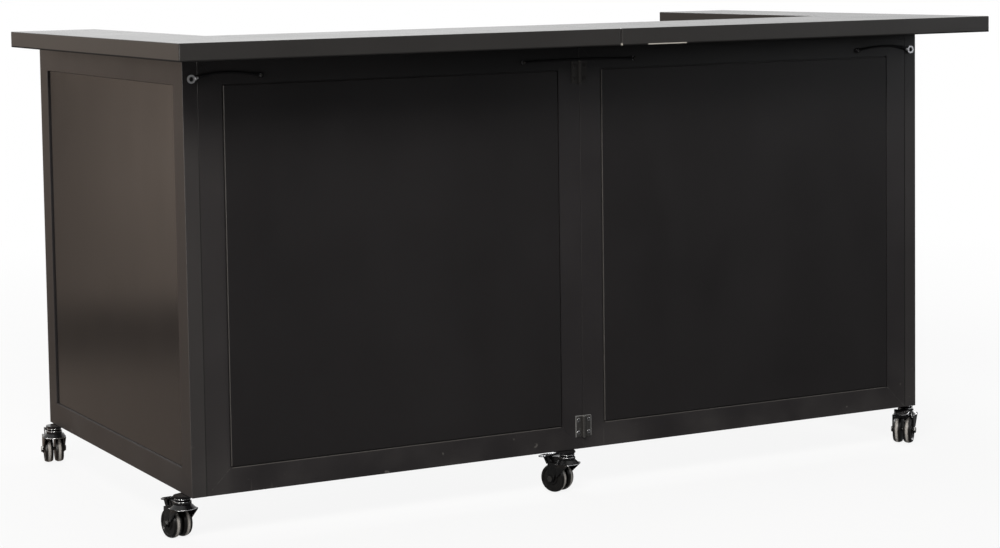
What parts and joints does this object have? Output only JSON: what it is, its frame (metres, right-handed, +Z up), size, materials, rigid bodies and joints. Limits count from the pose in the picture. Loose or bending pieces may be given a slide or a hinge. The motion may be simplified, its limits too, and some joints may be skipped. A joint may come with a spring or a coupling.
{
  "type": "portable bar",
  "caption": "U-shaped portable bar of folding framed panels on braked swivel casters, with a laminated counter in two lift-off halves and ties across the panel joints.",
  "frame": {"origin": "on the floor, under the middle of the whole bar in plan", "axes": "+X along the front from left to right as the guests see it, +Y from the guests' side to the serving side, +Z up"},
  "size_m": [2.098, 1.1805, 1.075],
  "materials": {
    "frame_paint": "satin black paint",
    "board_laminate": "dark satin laminate",
    "top_laminate": "black satin laminate on board",
    "pad_rubber": "matt",
    "hinge_black": "satin black",
    "hinge_pin": "blackened",
    "tie_sheath": "satin black sheath",
    "bright_steel": "bright plated",
    "caster_black": "gloss black",
    "wheel_black": "black, worn tread",
    "axle_steel": "zinc plated"
  },
  "bodies": {
    "front_left": {"frame_front_left": "frame_paint", "board_front_left": "board_laminate", "centre_hinge_leaves_left": "hinge_black", "centre_hinge_pins": "hinge_pin", "left_hinge_leaves_front": "hinge_black", "left_hinge_pins": "hinge_pin", "tie_studs_left": "bright_steel", "centre_tie_cable": "tie_sheath", "caster_plates_centre": "caster_black"},
    "front_right": {"frame_front_right": "frame_paint", "board_front_right": "board_laminate", "centre_hinge_leaves_right": "hinge_black", "right_hinge_leaves_front": "hinge_black", "right_hinge_pins": "hinge_pin", "tie_studs_right": "bright_steel"},
    "left_end": {"frame_left_end": "frame_paint", "board_left_end": "board_laminate", "left_hinge_leaves_end": "hinge_black", "left_tie_cable": "tie_sheath", "left_tie_ring": "bright_steel", "caster_plates_left": "caster_black"},
    "right_end": {"frame_right_end": "frame_paint", "board_right_end": "board_laminate", "right_hinge_leaves_end": "hinge_black", "right_tie_cable": "tie_sheath", "right_tie_ring": "bright_steel", "caster_plates_right": "caster_black"},
    "counter_left": {"top_left": "top_laminate", "pads_left": "pad_rubber"},
    "counter_right": {"top_right": "top_laminate", "pads_right": "pad_rubber"},
    "left_front_swivel": {"caster_left_front_fork": "caster_black", "caster_left_front_axle": "axle_steel"},
    "left_front_wheel_a": {"caster_left_front_wheel_a": "wheel_black"},
    "left_front_wheel_b": {"caster_left_front_wheel_b": "wheel_black"},
    "left_front_pedal": {"caster_left_front_pedal": "caster_black"},
    "left_rear_swivel": {"caster_left_rear_fork": "caster_black", "caster_left_rear_axle": "axle_steel"},
    "left_rear_wheel_a": {"caster_left_rear_wheel_a": "wheel_black"},
    "left_rear_wheel_b": {"caster_left_rear_wheel_b": "wheel_black"},
    "left_rear_pedal": {"caster_left_rear_pedal": "caster_black"},
    "right_front_swivel": {"caster_right_front_fork": "caster_black", "caster_right_front_axle": "axle_steel"},
    "right_front_wheel_a": {"caster_right_front_wheel_a": "wheel_black"},
    "right_front_wheel_b": {"caster_right_front_wheel_b": "wheel_black"},
    "right_front_pedal": {"caster_right_front_pedal": "caster_black"},
    "right_rear_swivel": {"caster_right_rear_fork": "caster_black", "caster_right_rear_axle": "axle_steel"},
    "right_rear_wheel_a": {"caster_right_rear_wheel_a": "wheel_black"},
    "right_rear_wheel_b": {"caster_right_rear_wheel_b": "wheel_black"},
    "right_rear_pedal": {"caster_right_rear_pedal": "caster_black"},
    "centre_swivel": {"caster_centre_fork": "caster_black", "caster_centre_axle": "axle_steel"},
    "centre_wheel_a": {"caster_centre_wheel_a": "wheel_black"},
    "centre_wheel_b": {"caster_centre_wheel_b": "wheel_black"},
    "centre_pedal": {"caster_centre_pedal": "caster_black"}
  },
  "joints": [
    {"name": "centre_fold", "type": "hinge", "parent": "front_left", "child": "front_right", "pos_m": [0, -0.4104, 0.5655], "axis": [0, 0, -1], "range_deg": [0, 160], "deforming": ["centre_tie_cable"]},
    {"name": "left_fold", "type": "hinge", "parent": "front_left", "child": "left_end", "pos_m": [-0.9346, -0.3686, 0.5655], "axis": [0, 0, -1], "range_deg": [0, 80]},
    {"name": "right_fold", "type": "hinge", "parent": "front_right", "child": "right_end", "pos_m": [0.9346, -0.3686, 0.5655], "axis": [0, 0, 1], "range_deg": [0, 80]},
    {"name": "counter_left_lift", "type": "slide", "parent": "front_left", "child": "counter_left", "axis": [0, 0, 1], "range_m": [0, 0.3]},
    {"name": "counter_right_lift", "type": "slide", "parent": "front_left", "child": "counter_right", "axis": [0, 0, 1], "range_m": [0, 0.3]},
    {"name": "left_front_swivel_turn", "type": "hinge", "parent": "left_end", "child": "left_front_swivel", "pos_m": [-0.977, -0.361, 0.097], "axis": [0, 0, 1], "continuous": true},
    {"name": "left_front_wheel_a_roll", "type": "hinge", "parent": "left_front_swivel", "child": "left_front_wheel_a", "pos_m": [-0.9809, -0.33327, 0.033], "axis": [-0.9903, -0.1392, 0], "continuous": true},
    {"name": "left_front_wheel_b_roll", "type": "hinge", "parent": "left_front_swivel", "child": "left_front_wheel_b", "pos_m": [-0.9809, -0.33327, 0.033], "axis": [-0.9903, -0.1392, 0], "continuous": true},
    {"name": "left_front_brake", "type": "hinge", "parent": "left_front_swivel", "child": "left_front_pedal", "pos_m": [-0.98259, -0.32119, 0.082], "axis": [-0.9903, -0.1392, 0], "range_deg": [0, 9]},
    {"name": "left_rear_swivel_turn", "type": "hinge", "parent": "left_end", "child": "left_rear_swivel", "pos_m": [-0.977, 0.513, 0.097], "axis": [0, 0, 1], "continuous": true},
    {"name": "left_rear_wheel_a_roll", "type": "hinge", "parent": "left_rear_swivel", "child": "left_rear_wheel_a", "pos_m": [-0.97118, 0.54039, 0.033], "axis": [-0.9781, 0.2079, 0], "continuous": true},
    {"name": "left_rear_wheel_b_roll", "type": "hinge", "parent": "left_rear_swivel", "child": "left_rear_wheel_b", "pos_m": [-0.97118, 0.54039, 0.033], "axis": [-0.9781, 0.2079, 0], "continuous": true},
    {"name": "left_rear_brake", "type": "hinge", "parent": "left_rear_swivel", "child": "left_rear_pedal", "pos_m": [-0.96864, 0.55232, 0.082], "axis": [-0.9781, 0.2079, 0], "range_deg": [0, 9]},
    {"name": "right_front_swivel_turn", "type": "hinge", "parent": "right_end", "child": "right_front_swivel", "pos_m": [0.977, -0.361, 0.097], "axis": [0, 0, 1], "continuous": true},
    {"name": "right_front_wheel_a_roll", "type": "hinge", "parent": "right_front_swivel", "child": "right_front_wheel_a", "pos_m": [0.95587, -0.37937, 0.033], "axis": [0.6561, -0.7547, 0], "continuous": true},
    {"name": "right_front_wheel_b_roll", "type": "hinge", "parent": "right_front_swivel", "child": "right_front_wheel_b", "pos_m": [0.95587, -0.37937, 0.033], "axis": [0.6561, -0.7547, 0], "continuous": true},
    {"name": "right_front_brake", "type": "hinge", "parent": "right_front_swivel", "child": "right_front_pedal", "pos_m": [0.94666, -0.38737, 0.082], "axis": [0.6561, -0.7547, 0], "range_deg": [0, 9]},
    {"name": "right_rear_swivel_turn", "type": "hinge", "parent": "right_end", "child": "right_rear_swivel", "pos_m": [0.977, 0.513, 0.097], "axis": [0, 0, 1], "continuous": true},
    {"name": "right_rear_wheel_a_roll", "type": "hinge", "parent": "right_rear_swivel", "child": "right_rear_wheel_a", "pos_m": [0.991, 0.53725, 0.033], "axis": [-0.866, 0.5, 0], "continuous": true},
    {"name": "right_rear_wheel_b_roll", "type": "hinge", "parent": "right_rear_swivel", "child": "right_rear_wheel_b", "pos_m": [0.991, 0.53725, 0.033], "axis": [-0.866, 0.5, 0], "continuous": true},
    {"name": "right_rear_brake", "type": "hinge", "parent": "right_rear_swivel", "child": "right_rear_pedal", "pos_m": [0.9971, 0.54781, 0.082], "axis": [-0.866, 0.5, 0], "range_deg": [0, 9]},
    {"name": "centre_swivel_turn", "type": "hinge", "parent": "front_left", "child": "centre_swivel", "pos_m": [-0.048, -0.411, 0.097], "axis": [0, 0, 1], "continuous": true},
    {"name": "centre_wheel_a_roll", "type": "hinge", "parent": "centre_swivel", "child": "centre_wheel_a", "pos_m": [-0.05894, -0.38523, 0.033], "axis": [-0.9205, -0.3907, 0], "continuous": true},
    {"name": "centre_wheel_b_roll", "type": "hinge", "parent": "centre_swivel", "child": "centre_wheel_b", "pos_m": [-0.05894, -0.38523, 0.033], "axis": [-0.9205, -0.3907, 0], "continuous": true},
    {"name": "centre_brake", "type": "hinge", "parent": "centre_swivel", "child": "centre_pedal", "pos_m": [-0.06371, -0.374, 0.082], "axis": [-0.9205, -0.3907, 0], "range_deg": [0, 9]}
  ]
}
